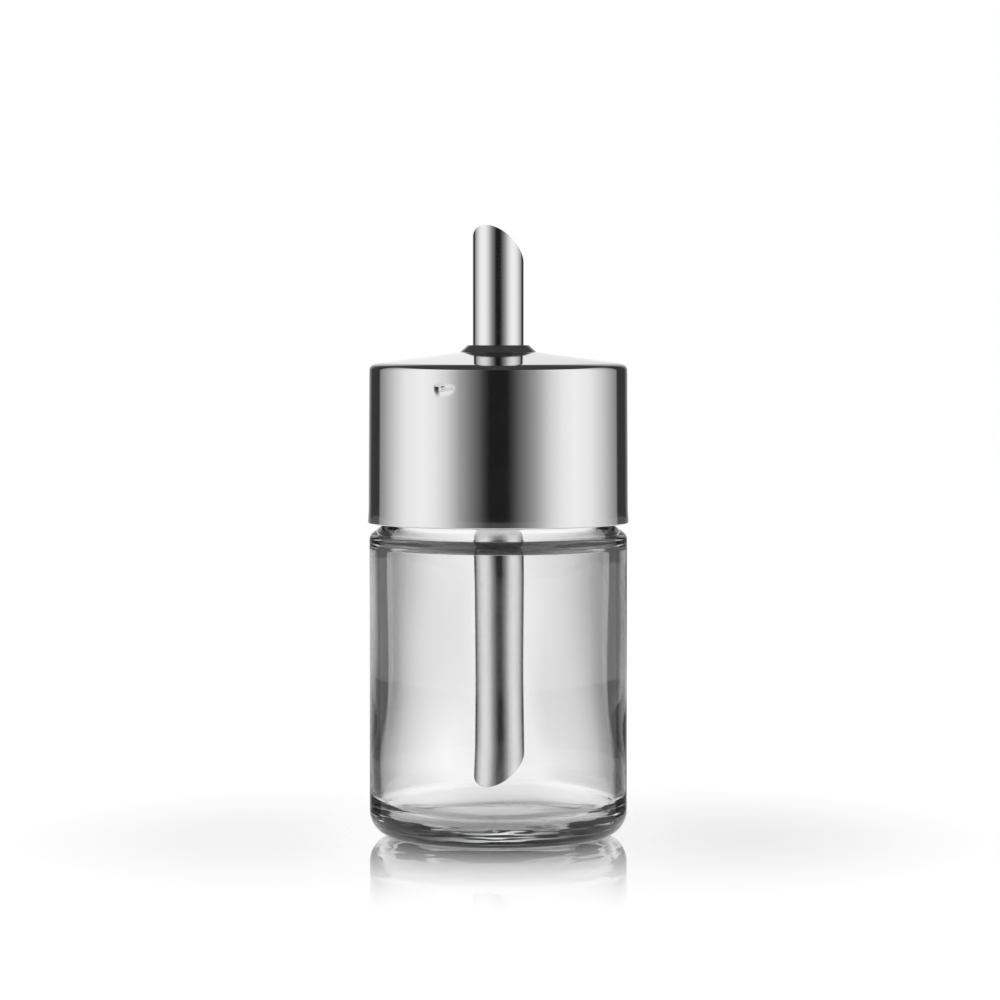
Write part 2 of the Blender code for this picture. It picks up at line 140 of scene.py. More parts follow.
camera_data = bpy.data.cameras.new("product_camera")
camera_data.sensor_width = SENSOR
camera_data.lens = SENSOR * (AIM - EYE).length / VIEW_WIDTH
camera = put_in_scene("product_camera", camera_data)
camera.location = EYE
camera.rotation_euler = (AIM - EYE).to_track_quat("-Z", "Y").to_euler()
bpy.context.scene.camera = camera
bpy.context.scene.view_settings.view_transform = "Standard"
tilt = degrees(atan2(AIM.z - EYE.z, AIM.y - EYE.y))
print("lens:", round(camera_data.lens, 1), "mm, tilt:", round(tilt, 2), "degrees")

# %% [markdown]
# ## The studio
# Steel and glass have almost no colour of their own: they show the room. A photographer builds a
# room for them, of a white screen behind, a black flag at each side of it that draws the dark edges
# of the glass, a soft box at each side, a black gap where the camera stands, and a dark ceiling.
# All of that stands outside the picture and far away, so here it is written into the world, as
# brightness by direction. The camera itself sees plain white, and matt surfaces get even light, at
# which a colour renders as it is written.

# %% Brightness of the studio by direction
# Angle from straight behind the object, in degrees, and brightness there, 1 being white.
STUDIO_RIM = [
    (0, 1.05), (2, 1.02), (4, 0.79), (6, 0.68), (9, 0.55), (12, 0.42), (18, 0.25), (26, 0.06),
    (48, 0.05), (50, 0.36), (60, 0.56), (75, 0.94), (90, 1.27), (108, 1.40), (122, 1.27),
    (133, 1.02), (146, 0.53), (155, 0.30), (167, 0.075), (172, 0.02), (180, 0.018),
]
CEILING = 0.07
BOX_TOP = (33, 42)
SCREEN_TOP = (20, 34)
SCREEN_HALF_WIDTH = (30, 60)
# The back screen is a little dimmer on the right, from the first to the second pair of angles.
RIGHT_DIMMER, DIM_START, DIM_END = 0.88, (-1, 4), (30, 48)

world = bpy.data.worlds.new("studio")
world.use_nodes = True
world.cycles.sampling_method = "NONE"
bpy.context.scene.world = world
tree = world.node_tree
tree.nodes.clear()
direction = parts_of(tree, add_node(tree, "ShaderNodeTexCoord").outputs["Generated"])
turn = maths(tree, "ARCTAN2", direction["X"], direction["Y"])
from_back = maths(tree, "ABSOLUTE", turn)
ramp = add_node(tree, "ShaderNodeValToRGB", {0: maths(tree, "DIVIDE", from_back, pi)})
stops = ramp.color_ramp.elements
for angle, strength in STUDIO_RIM:
    stop = stops[0] if angle == 0 else stops[-1] if angle == 180 else stops.new(angle / 180)
    stop.color = (strength, strength, strength, 1)
dim_start = remap(tree, turn, *map(radians, DIM_START), 1.0, RIGHT_DIMMER)
dim_end = remap(tree, turn, *map(radians, DIM_END))
rim_light = maths(tree, "MULTIPLY", ramp.outputs["Color"], blend(tree, dim_end, dim_start, 1.0))
sideways = remap(tree, from_back, *map(radians, SCREEN_HALF_WIDTH))
top_start, top_end = [
    blend(tree, sideways, radians(screen), radians(box)) for screen, box in zip(SCREEN_TOP, BOX_TOP)]
above = remap(tree, maths(tree, "ARCSINE", direction["Z"]), top_start, top_end, curve="SMOOTHSTEP")
room = blend(tree, above, rim_light, CEILING)
print("stops of the studio's rim:", len(stops))

# %% Which rays see the studio
rays = add_node(tree, "ShaderNodeLightPath").outputs
mirror_or_glass = maths(tree, "MAXIMUM", rays["Is Glossy Ray"], rays["Is Transmission Ray"])
background = add_node(tree, "ShaderNodeBackground", {
    "Color": (1, 1, 1, 1), "Strength": blend(tree, mirror_or_glass, 1.0, room)})
add_node(tree, "ShaderNodeOutputWorld", {"Surface": background.outputs[0]})
print("world nodes:", len(tree.nodes))

# %% [markdown]
# ## Floor
# The dispenser stands on a sheet of white acrylic. Seen at a flat angle the sheet mirrors the jar,
# strongest at its foot and fading out over 115 mm; seen from above it is plain white. A Layer
# Weight node gives the first, and the distance from the axis the second. The sheet is lit a little
# from below, which the glass gathers in its thick foot.

# %% Floor
FLOOR_HALF = 1250 * MM
FLOOR_DROP = 0.05 * MM
MIRROR_STRENGTH, MIRROR_START, MIRROR_END, MIRROR_POWER = 0.92, 24 * MM, 139 * MM, 2.0
# What the glass and the steel see of the sheet, near the jar and far from it.
UNDER_MIRROR, FAR_MIRROR, UNDER_END, FAR_START = 0.30, 0.93, 30 * MM, 70 * MM
GRAZING = (0.64, 0.84)
GLOW, GLOW_IN_GLASS = 0.15, 0.20

corners = [(across * FLOOR_HALF, along * FLOOR_HALF, 0)
           for across, along in ((-1, -1), (1, -1), (1, 1), (-1, 1))]
floor_mesh = bpy.data.meshes.new("floor")
floor_mesh.from_pydata(corners, [], [(0, 1, 2, 3)])
floor = put_in_scene("floor", floor_mesh)
floor.location.z = -FLOOR_DROP

acrylic = bpy.data.materials.new("white_acrylic_sheet")
acrylic.use_nodes = True
tree = acrylic.node_tree
tree.nodes.clear()
distance = add_node(tree, "ShaderNodeVectorMath", {
    0: add_node(tree, "ShaderNodeTexCoord").outputs["Object"]}, operation="LENGTH").outputs["Value"]
fade = remap(tree, distance, MIRROR_START, MIRROR_END, 1.0, 0.0)
near_mirror = maths(tree, "MULTIPLY", maths(tree, "POWER", fade, MIRROR_POWER), MIRROR_STRENGTH)
seen_in_glass = remap(tree, distance, UNDER_END, FAR_START, UNDER_MIRROR, FAR_MIRROR)
camera_ray = add_node(tree, "ShaderNodeLightPath").outputs["Is Camera Ray"]
grazing = remap(tree, add_node(tree, "ShaderNodeLayerWeight", {"Blend": 0.5}).outputs["Facing"], *GRAZING)
mirror_share = maths(tree, "MULTIPLY", blend(tree, camera_ray, seen_in_glass, near_mirror), grazing)
matt = add_node(tree, "ShaderNodeBsdfDiffuse", {"Color": hex_colour("#F4F4F4")})
glow = add_node(tree, "ShaderNodeEmission", {
    "Color": (1, 1, 1, 1), "Strength": blend(tree, camera_ray, GLOW_IN_GLASS, GLOW)})
white = add_node(tree, "ShaderNodeAddShader", {0: matt.outputs[0], 1: glow.outputs[0]})
mirror = add_node(tree, "ShaderNodeBsdfGlossy", {"Color": (1, 1, 1, 1), "Roughness": 0.02})
sheet = add_node(tree, "ShaderNodeMixShader", {0: mirror_share, 1: white.outputs[0], 2: mirror.outputs[0]})
add_node(tree, "ShaderNodeOutputMaterial", {"Surface": sheet.outputs[0]})
floor.data.materials.append(acrylic)
floor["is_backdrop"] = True
print("floor:", 2 * FLOOR_HALF, "m wide")

# %% [markdown]
# ## Finishes
# ### Pressed soda-lime glass
# The jar is blown or pressed in a mould and fire polished, so its surface is smooth but never quite
# even: the light that comes through wavers. The large waves are in the mesh of the inner wall; here
# a very low, wide ripple is added, and level wrinkles, called chill marks, low down, where the glass
# first touched the cold mould. Iron in the melt gives thick places a faint grey-green, which a
# little absorption shows in the floor of the jar.

# %% Glass
def new_material(name, values):
    """A named material with values set on its shader; also its node tree and the shader's inputs."""
    made = bpy.data.materials.new(name)
    made.use_nodes = True
    shader = made.node_tree.nodes["Principled BSDF"].inputs
    for label, value in values.items():
        shader[label].default_value = value
    return made, made.node_tree, shader


def noise(tree, scale, detail, roughness=0.5):
    """Noise in object space; scale is the number of pattern units in a metre, on each axis."""
    here = add_node(tree, "ShaderNodeTexCoord").outputs["Object"]
    place = add_node(tree, "ShaderNodeMapping", {"Vector": here, "Scale": scale}).outputs[0]
    return add_node(tree, "ShaderNodeTexNoise", {
        "Vector": place, "Scale": 1.0, "Detail": detail, "Roughness": roughness}).outputs["Fac"]


def relief(tree, height, strength, depth, **over):
    """Normal of a surface with a low relief, depth in millimetres."""
    return add_node(tree, "ShaderNodeBump", {
        "Height": height, "Strength": strength, "Distance": depth * MM, **over}).outputs[0]


GLASS_IOR, ABSORPTION = 1.52, 12.0
RIPPLE_WIDTH, RIPPLE_LENGTH, RIPPLE_DEPTH, RIPPLE_STRENGTH = 14.0, 35.0, 0.02, 0.35
CHILL_WIDTH, CHILL_HEIGHT, CHILL_DEPTH, CHILL_FADE = 11.0, 1.3, 0.18, (9.0, 6.0)

glass_finish, tree, shader = new_material("pressed_soda_lime_glass", {
    "Base Color": hex_colour("#FDFDFD"), "Roughness": 0.0, "IOR": GLASS_IOR, "Transmission Weight": 1.0})
ripple = noise(tree, (1000 / RIPPLE_WIDTH, 1000 / RIPPLE_WIDTH, 1000 / RIPPLE_LENGTH), 1.0, 0.4)
rippled = relief(tree, ripple, RIPPLE_STRENGTH, RIPPLE_DEPTH)
wrinkle = noise(tree, (1000 / CHILL_WIDTH, 1000 / CHILL_WIDTH, 1000 / CHILL_HEIGHT), 1.0)
level = parts_of(tree, add_node(tree, "ShaderNodeTexCoord").outputs["Object"])["Z"]
low_down = remap(tree, level, CHILL_FADE[0] * MM, CHILL_FADE[1] * MM)
chilled = relief(tree, maths(tree, "MULTIPLY", wrinkle, low_down), 1.0, CHILL_DEPTH, Normal=rippled)
tree.links.new(chilled, shader["Normal"])
absorb = add_node(tree, "ShaderNodeVolumeAbsorption", {
    "Color": hex_colour("#DFE3E1"), "Density": ABSORPTION})
tree.links.new(absorb.outputs[0], tree.nodes["Material Output"].inputs["Volume"])
print("glass: IOR", GLASS_IOR, "and ripple", RIPPLE_WIDTH, "mm wide")

# %% [markdown]
# ### Polished stainless steel
# The cap is drawn from sheet and then polished while it spins, the tube is drawn and polished along
# its length. Both are mirrors with a slight haze. What tells polished steel from chrome is a faint
# grain in the way it was polished: rings around the cap, lines along the tube. Their spacing is
# about 0.1 mm in reality; it is drawn at 0.25 mm so that the render can show it.

# %% Steel
GRAIN_SPACING = 0.25
GRAIN_DEPTH = 0.004
CLOUD_SCALE = (120, 120, 120)
CLOUD_RANGE, HAZE_RANGE = (0.1, 0.45), (0.7, 1.4)


def polished_steel(name, code, stretch, haze, grain):
    """Mirror-polished steel; stretch is the scale of its grain on each axis, in grains per spacing."""
    made, tree, shader = new_material(name, {"Base Color": hex_colour(code), "Metallic": 1.0})
    lines = noise(tree, tuple(part * 1000 / GRAIN_SPACING for part in stretch), 3.0, 0.6)
    both = maths(tree, "MULTIPLY", lines, noise(tree, CLOUD_SCALE, 2.0))
    hazy = remap(tree, both, *CLOUD_RANGE, haze * HAZE_RANGE[0], haze * HAZE_RANGE[1])
    tree.links.new(hazy, shader["Roughness"])
    tree.links.new(relief(tree, lines, grain, GRAIN_DEPTH), shader["Normal"])
    return made


cap_finish = polished_steel("polished_drawn_stainless_cap", "#CDCDCD", (0.01, 0.01, 1.0), 0.07, 0.20)
tube_finish = polished_steel("polished_stainless_tube", "#CECECE", (1.0, 1.0, 0.01), 0.09, 0.20)
flap_finish = polished_steel("polished_stamped_stainless", "#CECECE", (0.3, 0.3, 0.3), 0.10, 0.25)
spring_finish = polished_steel("satin_spring_steel", "#A9A9AB", (0.3, 0.3, 0.3), 0.28, 0.5)
wire_finish = polished_steel("drawn_stainless_wire", "#A9A9AB", (1.0, 1.0, 1.0), 0.24, 0.4)
print("steel finishes: cap, tube, flap, spring, wire")

# %% [markdown]
# ### Moulded plastic and silicone
# The inner cap is natural polypropylene: milky, a little waxy, with the fine spark-eroded grain of
# its mould, about 0.3 mm wide. The sealing ring is pale silicone, satin and slightly see-through,
# which subsurface scattering gives.

# %% Plastic and silicone
MOULD_GRAIN_DEPTH = 0.02
MILKINESS = 0.35
TINT_SCALE, TINT_SHADE = (90, 90, 90), 0.93


def moulded(name, code, roughness, grain_width, grain, depth):
    """Soft milky plastic or rubber with the grain of its mould."""
    made, tree, shader = new_material(name, {
        "Roughness": roughness, "Subsurface Weight": MILKINESS, "Subsurface Radius": (depth * MM,) * 3,
        "Subsurface Scale": 1.0})
    base = Vector(hex_colour(code)[:3])
    tint = add_node(tree, "ShaderNodeMix", {
        0: noise(tree, TINT_SCALE, 2.0), 6: (*(base * TINT_SHADE), 1), 7: (*base, 1)}, data_type="RGBA")
    tree.links.new(tint.outputs[2], shader["Base Color"])
    mould_grain = noise(tree, (1000 / grain_width,) * 3, 2.0)
    tree.links.new(relief(tree, mould_grain, grain, MOULD_GRAIN_DEPTH), shader["Normal"])
    return made


insert_finish = moulded("natural_polypropylene", "#E9E9E4", 0.38, 0.3, 0.25, 0.8)
seal_finish = moulded("pale_silicone", "#DEDDD8", 0.50, 0.5, 0.15, 1.2)
print("moulded finishes: insert, seal")

# %% [markdown]
# ## Turned shapes
# Glass, cap, insert and seal are all bodies of revolution, so one function turns a profile of
# (radius, height) points around the axis. It takes an optional `swell`, a function that adds to the
# radius at each angle and height: with it the same lathe also makes the wavering inner wall of the
# glass and the dimples in the cap. A profile that runs up the outside and down the inside gives
# faces that point outwards.

# %% The lathe
def arc(centre, radius, start, end, steps):
    """Points along an arc of a profile, angles in degrees, both ends included."""
    turns = [radians(start + (end - start) * step / steps) for step in range(steps + 1)]
    return [(centre[0] + radius * cos(angle), centre[1] + radius * sin(angle)) for angle in turns]


def line(start, end, steps):
    """Points along a straight stretch of a profile, without its last point."""
    across, along = end[0] - start[0], end[1] - start[1]
    return [(start[0] + across * step / steps, start[1] + along * step / steps) for step in range(steps)]


def ease(start, end, steps):
    """Points of a smooth S between two upright stretches, without its last point."""
    points = []
    for step in range(steps):
        share = step / steps
        swing = (1 - cos(pi * share)) / 2
        points.append((start[0] + (end[0] - start[0]) * swing, start[1] + (end[1] - start[1]) * share))
    return points


def fine_columns(count, centres=(), half_width=0.0, step=1.0):
    """Angles in degrees around the whole circle, closer together near the given centres."""
    angles = {round(360 * index / count, 4) for index in range(count)}
    for centre in centres:
        angles = {angle for angle in angles if abs((angle - centre + 180) % 360 - 180) > half_width}
        first, steps = centre - half_width, int(2 * half_width / step)
        angles |= {round((first + 2 * half_width * index / steps) % 360, 4) for index in range(steps + 1)}
    return sorted(angles)


def lathe(name, profile, columns, closed, swell=None, lift=None):
    """Turn a profile in millimetres around the axis; a point at radius 0 becomes a closed pole."""
    angles = np.radians(np.array(columns))[None, :]
    radii, heights = (np.array(values)[:, None] for values in zip(*profile))
    rows = np.arange(len(profile))[:, None]
    wide = radii + (swell(angles, radii, heights, rows) if swell else 0) + 0 * angles
    tall = heights + (lift(angles, radii, heights, rows) if lift else 0) + 0 * angles
    spots = np.stack([wide * np.cos(angles), wide * np.sin(angles), tall], axis=-1) * MM
    verts, numbers = [], []
    for row in range(len(profile)):
        if radii[row, 0] == 0:
            numbers.append([len(verts)] * len(columns))
            verts.append(tuple(spots[row, 0]))
        else:
            numbers.append(list(range(len(verts), len(verts) + len(columns))))
            verts += [tuple(spot) for spot in spots[row]]
    pairs = list(zip(numbers, numbers[1:]))
    if closed:
        pairs.append((numbers[-1], numbers[0]))
    faces = []
    for low, high in pairs:
        for k in range(len(columns)):
            following = (k + 1) % len(columns)
            faces.append(list(dict.fromkeys([low[k], low[following], high[following], high[k]])))
    mesh = bpy.data.meshes.new(name)
    mesh.from_pydata(verts, [], faces)
    mesh.update()
    return mesh


def volume(mesh):
    """Enclosed volume in cubic centimetres; it is negative when the faces point inwards."""
    probe = bmesh.new()
    probe.from_mesh(mesh)
    found = probe.calc_volume(signed=True) * 1e6
    open_edges = sum(1 for edge in probe.edges if not edge.is_manifold)
    probe.free()
    return round(found, 3), open_edges


def finish_piece(name, mesh, finish, body, node, sharp=40):
    """Link a mesh as a finished piece: smooth shading, material, body, and the node it stands for."""
    mesh.shade_smooth()
    mesh.set_sharp_from_angle(angle=radians(sharp))
    mesh.materials.clear()
    mesh.materials.append(finish)
    piece = put_in_scene(name, mesh)
    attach(piece, body)
    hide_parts(node)
    print(name + ":", len(mesh.polygons), "faces, volume and open edges", volume(mesh))
    return piece


def set_input(modifier, name, value):
    """Set a named input of a Geometry Nodes modifier through its socket identifier."""
    for item in modifier.node_group.interface.items_tree:
        if item.item_type == "SOCKET" and item.in_out == "INPUT" and item.name == name:
            modifier[item.identifier] = value
            return
    raise KeyError(name)


def evaluated(carrier):
    """Plain mesh of an object as its modifiers leave it; the object itself is removed."""
    bpy.context.view_layer.update()
    graph = bpy.context.evaluated_depsgraph_get()
    result = bpy.data.meshes.new_from_object(carrier.evaluated_get(graph))
    bpy.data.objects.remove(carrier, do_unlink=True)
    return result


def bake(mesh, group, values):
    """Run a Geometry Nodes group over a mesh and return the plain mesh that results."""
    carrier = put_in_scene("carrier", mesh)
    modifier = carrier.modifiers.new("shape", "NODES")
    modifier.node_group = group
    for name, value in values.items():
        set_input(modifier, name, value)
    return evaluated(carrier)


print("lathe ready")

# %% [markdown]
# ## The glass jar
# A pressed jar keeps its outside from the mould, true and smooth, while the plunger and the heat
# leave the inner wall thicker towards the neck and slightly wavy. Those waves bend the light, and
# without them the glass looks like a computer's. The neck carries a right-hand thread; it is a
# ridge that follows a helix, which a small Geometry Nodes tree raises on the turned mesh.

# %% Profile of the jar
JAR_RADIUS = 30.0
JAR_CORNER = 70.1
SHOULDER_SLOPE = 38.0
SHOULDER_FILLET = 2.0
NECK_RADIUS = 26.6
NECK_FILLET = 0.7
NECK_TOP = 88.5
NECK_BORE = 23.4
LIP = 0.8
FOOT_FILLET = 6.0
PUNT, PUNT_RADIUS, PUNT_RAMP = 0.9, 14.5, 6.1
HIGH_BORE, LOW_BORE, THICKER_FROM, THICKER_TO = 25.6, 27.3, 15, 39
INNER_SHOULDER = (71.2, 66.6)
FLOOR = 4.5
FLOOR_FILLET = 5.5
THREAD_ZONE = (77.2, 83.7)

setback = SHOULDER_FILLET * tan(radians(90 - SHOULDER_SLOPE) / 2)
neck_foot = JAR_CORNER + (JAR_RADIUS - NECK_RADIUS) * tan(radians(SHOULDER_SLOPE))
reach = NECK_FILLET * tan(radians(90 - SHOULDER_SLOPE) / 2)
shoulder_end = JAR_CORNER - setback
jar_outside = [(0, PUNT)] + line((3, PUNT), (PUNT_RADIUS, PUNT), 4)
jar_outside += [(PUNT_RADIUS + PUNT_RAMP * step / 12, PUNT * (1 + cos(pi * step / 12)) / 2)
                for step in range(12)]
jar_outside += line((PUNT_RADIUS + PUNT_RAMP, 0), (JAR_RADIUS - FOOT_FILLET, 0), 3)
jar_outside += arc((JAR_RADIUS - FOOT_FILLET, FOOT_FILLET), FOOT_FILLET, -90, 0, 24)
jar_outside += line((JAR_RADIUS, FOOT_FILLET), (JAR_RADIUS, shoulder_end), 16)[1:]
jar_outside += arc(
    (JAR_RADIUS - SHOULDER_FILLET, shoulder_end), SHOULDER_FILLET, 0, 90 - SHOULDER_SLOPE, 14)
jar_outside += arc(
    (NECK_RADIUS + NECK_FILLET, neck_foot + reach), NECK_FILLET, 270 - SHOULDER_SLOPE, 180, 8)
jar_outside += line((NECK_RADIUS, neck_foot + reach), (NECK_RADIUS, THREAD_ZONE[0]), 4)[1:]
jar_outside += line((NECK_RADIUS, THREAD_ZONE[0]), (NECK_RADIUS, THREAD_ZONE[1]), 42)
jar_outside += line((NECK_RADIUS, THREAD_ZONE[1]), (NECK_RADIUS, NECK_TOP - LIP), 3)
jar_outside += arc((NECK_RADIUS - LIP, NECK_TOP - LIP), LIP, 0, 90, 8)
jar_inside = arc((NECK_BORE + LIP, NECK_TOP - LIP), LIP, 90, 180, 8)
jar_inside += line((NECK_BORE, NECK_TOP - LIP), (NECK_BORE, INNER_SHOULDER[0]), 6)[1:]
jar_inside += ease((NECK_BORE, INNER_SHOULDER[0]), (HIGH_BORE, INNER_SHOULDER[1]), 20)
jar_inside += line((HIGH_BORE, INNER_SHOULDER[1]), (HIGH_BORE, THICKER_TO), 10)
jar_inside += ease((HIGH_BORE, THICKER_TO), (LOW_BORE, THICKER_FROM), 16)
jar_inside += line((LOW_BORE, THICKER_FROM), (LOW_BORE, FLOOR + FLOOR_FILLET), 3)
jar_inside += arc((LOW_BORE - FLOOR_FILLET, FLOOR + FLOOR_FILLET), FLOOR_FILLET, 0, -90, 20)
jar_inside += line((LOW_BORE - FLOOR_FILLET, FLOOR), (2, FLOOR), 8)[1:] + [(0, FLOOR)]
print("jar profile:", len(jar_outside), "points outside,", len(jar_inside), "inside")

# %% Waves of the inner wall
WAVE_HEIGHT = 0.07
WAVES_FROM, WAVES_TO, FADE_BELOW, FADE_ABOVE = 9, 71, 14, 10
THIN_SPOT, THIN_SPOT_PLACE, THIN_SPOT_WIDTH = 0.6, 283.0, 33.0


def inner_waves(angle, radius, height, row):
    """Low waves of the inner wall and its thin spot, in millimetres; both end at neck and floor."""
    wall = np.clip((height - WAVES_FROM) / FADE_BELOW, 0, 1) * np.clip((WAVES_TO - height) / FADE_ABOVE, 0, 1)
    inside = row >= len(jar_outside)
    waves = (np.sin(2 * angle + 0.7 + height / 21) + 0.7 * np.sin(3 * angle - 1.3 - height / 15)
             + 0.5 * np.sin(7 * angle + 2.1 + height / 9))
    thin_spot = THIN_SPOT * np.exp(-((degrees(1) * angle - THIN_SPOT_PLACE) / THIN_SPOT_WIDTH) ** 2)
    return np.where(inside, (waves * WAVE_HEIGHT + thin_spot) * wall, 0) * (radius > 0)


jar_blank = lathe("jar_blank", jar_outside + jar_inside, fine_columns(288), False, inner_waves)
print("turned jar:", volume(jar_blank))

# %% [markdown]
# ### A thread as a node tree
# The tree asks, for each point of the mesh, how many turns along the helix it lies and how far from
# the ridge's middle line. Within the ridge the point moves outwards, and at both ends the ridge runs
# out softly, as it does in a mould. A negative ridge gives the matching thread inside the cap.

# %% Geometry Nodes: thread ridge
RUN_OUT = 0.07
WALL_REACH = 0.3 * MM


def new_group(name, *sizes, counts=()):
    """Geometry Nodes group that takes a geometry, counts, sizes and a finish; also its inputs."""
    group = bpy.data.node_groups.new(name, "GeometryNodeTree")
    kinds = {"Geometry": "Geometry", **dict.fromkeys(counts, "Int"), **dict.fromkeys(sizes, "Float"),
             "Finish": "Material"}
    for label, kind in kinds.items():
        group.interface.new_socket(label, in_out="INPUT", socket_type="NodeSocket" + kind)
    group.interface.new_socket("Geometry", in_out="OUTPUT", socket_type="NodeSocketGeometry")
    return group, add_node(group, "NodeGroupInput").outputs


def end_group(group, geometry, finish):
    """Last nodes of a group: plain geometry in its finish."""
    real = add_node(group, "GeometryNodeRealizeInstances", {0: geometry})
    dressed = add_node(group, "GeometryNodeSetMaterial", {
        "Geometry": real.outputs[0], "Material": finish})
    add_node(group, "NodeGroupOutput", {0: dressed.outputs[0]})
    return group


def thread_tree():
    """Node group that raises a helical ridge on a round wall."""
    group, given = new_group(
        "thread_ridge", "Pitch", "Turns", "Start", "Wall Radius", "Ridge", "Crest", "Flank")
    sums = partial(maths, group)
    point = parts_of(group, add_node(group, "GeometryNodeInputPosition").outputs[0])
    flat = add_node(group, "ShaderNodeCombineXYZ", {0: point["X"], 1: point["Y"]}).outputs[0]
    radius = add_node(group, "ShaderNodeVectorMath", {0: flat}, operation="LENGTH").outputs["Value"]
    outward = add_node(group, "ShaderNodeVectorMath", {0: flat}, operation="NORMALIZE").outputs["Vector"]
    turn = sums("FRACT", sums("DIVIDE", sums("ARCTAN2", point["Y"], point["X"]), 2 * pi))
    climbed = sums("DIVIDE", sums("SUBTRACT", point["Z"], given["Start"]), given["Pitch"])
    winding = sums("MAXIMUM", sums("ROUND", sums("SUBTRACT", climbed, turn)), 0.0)
    along = sums("ADD", turn, winding)
    middle = sums("ADD", given["Start"], sums("MULTIPLY", given["Pitch"], along))
    off_middle = sums("ABSOLUTE", sums("SUBTRACT", point["Z"], middle))
    flank_end = sums("ADD", given["Crest"], given["Flank"])
    ridge = remap(group, off_middle, given["Crest"], flank_end, 1.0, 0.0, "SMOOTHSTEP")
    to_end = sums("MINIMUM", along, sums("SUBTRACT", given["Turns"], along))
    run_out = remap(group, to_end, 0.0, RUN_OUT, curve="SMOOTHSTEP")
    off_wall = sums("ABSOLUTE", sums("SUBTRACT", radius, given["Wall Radius"]))
    on_wall = sums("LESS_THAN", off_wall, WALL_REACH)
    lift = sums("MULTIPLY", sums("MULTIPLY", ridge, run_out), sums("MULTIPLY", on_wall, given["Ridge"]))
    push = add_node(group, "ShaderNodeVectorMath", {0: outward, "Scale": lift}, operation="SCALE")
    raised = add_node(group, "GeometryNodeSetPosition", {
        "Geometry": given["Geometry"], "Offset": push.outputs["Vector"]})
    return end_group(group, raised.outputs[0], given["Finish"])


THREAD_PITCH = 3.0
THREAD_TURNS = 1.25
THREAD_START = 78.5
THREAD_RIDGE = 1.0
JAR_CREST, JAR_FLANK = 0.45, 0.65

thread_group = thread_tree()
thread = {"Pitch": THREAD_PITCH * MM, "Turns": THREAD_TURNS}
jar_mesh = bake(jar_blank, thread_group, {
    **thread, "Start": THREAD_START * MM, "Wall Radius": NECK_RADIUS * MM,
    "Ridge": THREAD_RIDGE * MM, "Crest": JAR_CREST * MM, "Flank": JAR_FLANK * MM,
    "Finish": glass_finish})
jar = finish_piece("jar_of_pressed_glass", jar_mesh, glass_finish, "jar", "glass_jar", sharp=60)

# %% [markdown]
# ## The steel cap
# One sheet, drawn deep: a wall that widens by a hair towards its rim, a small radius, a dome that
# rises at 7.5 degrees and a collar pulled up around the tube. Three dimples crimp it to the plastic
# inside. The photograph shows one: a dent 5.8 mm wide, steep on its left and running out to the
# right, with a raised bar in it that the punch left. The mesh is fine only around the dimples.

# %% Profile of the cap
CAP_BASE = 73.0
CAP_RADIUS = 29.97
SHEET = 0.6
RIM_CENTRE, RIM_ROUND = 30.02, 0.3
FLARE_TOP, CRIMP_BOTTOM, CRIMP_TOP = (30.16, CAP_BASE + 3.0), (30.013, 100.9), (29.98, 107.2)
CORNER_HEIGHT = 108.47
CORNER = 1.4
DOME_EDGE, DOME_EDGE_SLOPE, DOME_SLOPE = 7.0, 22.0, 7.5
COLLAR_FOOT, COLLAR_TOP, COLLAR_HEIGHT = 8.9, 7.1, 1.65
COLLAR_FILLET, COLLAR_EDGE, COLLAR_GAP = 0.55, 0.22, 0.25
TUBE_RADIUS = 5.9
DIMPLE_HEIGHT, DIMPLE_COUNT = 104.3, 3
DIMPLE_AZIMUTH, DIMPLE_HALF_ANGLE, DIMPLE_STEP = 246.2, 6.4, 0.22


def shifted(points, distance):
    """A profile moved sideways to its left by distance, mitred at its corners."""
    path = [Vector(point) for point in points]
    sides = []
    for first, second in zip(path, path[1:]):
        along = (second - first).normalized()
        sides.append(Vector((-along.y, along.x)))
    moved = []
    for index, point in enumerate(path):
        before = sides[max(index - 1, 0)]
        after = sides[min(index, len(sides) - 1)]
        mitre = (before + after).normalized()
        moved.append(tuple(point + mitre * distance / mitre.dot(after)))
    return moved


def rounded(before, corner, after, radius, steps):
    """Points that round one corner of a profile with a radius."""
    start, middle, end = Vector(before), Vector(corner), Vector(after)
    back = (start - middle).normalized()
    ahead = (end - middle).normalized()
    half = back.angle(ahead) / 2
    centre = middle + (back + ahead).normalized() * (radius / sin(half))
    first = middle + back * (radius / tan(half)) - centre
    last = middle + ahead * (radius / tan(half)) - centre
    swings = [first.lerp(last, step / steps).normalized() for step in range(steps + 1)]
    return [tuple(centre + swing * radius) for swing in swings]


rim = arc((RIM_CENTRE, CAP_BASE + RIM_ROUND), RIM_ROUND, -90, 0, 6)
wall = line(FLARE_TOP, CRIMP_BOTTOM, 6) + line(CRIMP_BOTTOM, CRIMP_TOP, 60) + [CRIMP_TOP]
corner_centre = Vector((CAP_RADIUS - CORNER, CORNER_HEIGHT))
corner = arc(corner_centre, CORNER, 0, 90 - DOME_EDGE_SLOPE, 14)
lean = radians(90 - DOME_EDGE_SLOPE)
edge_centre = corner_centre - Vector((cos(lean), sin(lean))) * (DOME_EDGE - CORNER)
edge = arc(edge_centre, DOME_EDGE, 90 - DOME_EDGE_SLOPE, 90 - DOME_SLOPE, 8)[1:]
foot = (COLLAR_FOOT, edge[-1][1] + (edge[-1][0] - COLLAR_FOOT) * tan(radians(DOME_SLOPE)))
top = (COLLAR_TOP, foot[1] + COLLAR_HEIGHT)
bore = (TUBE_RADIUS + COLLAR_GAP, top[1])
dome = line(edge[-1], foot, 10)[1:]
cap_outside = rim + wall + corner + edge + dome
cap_outside += rounded(dome[-1], foot, top, COLLAR_FILLET, 8)
cap_outside += rounded(foot, top, bore, COLLAR_EDGE, 5) + [bore]
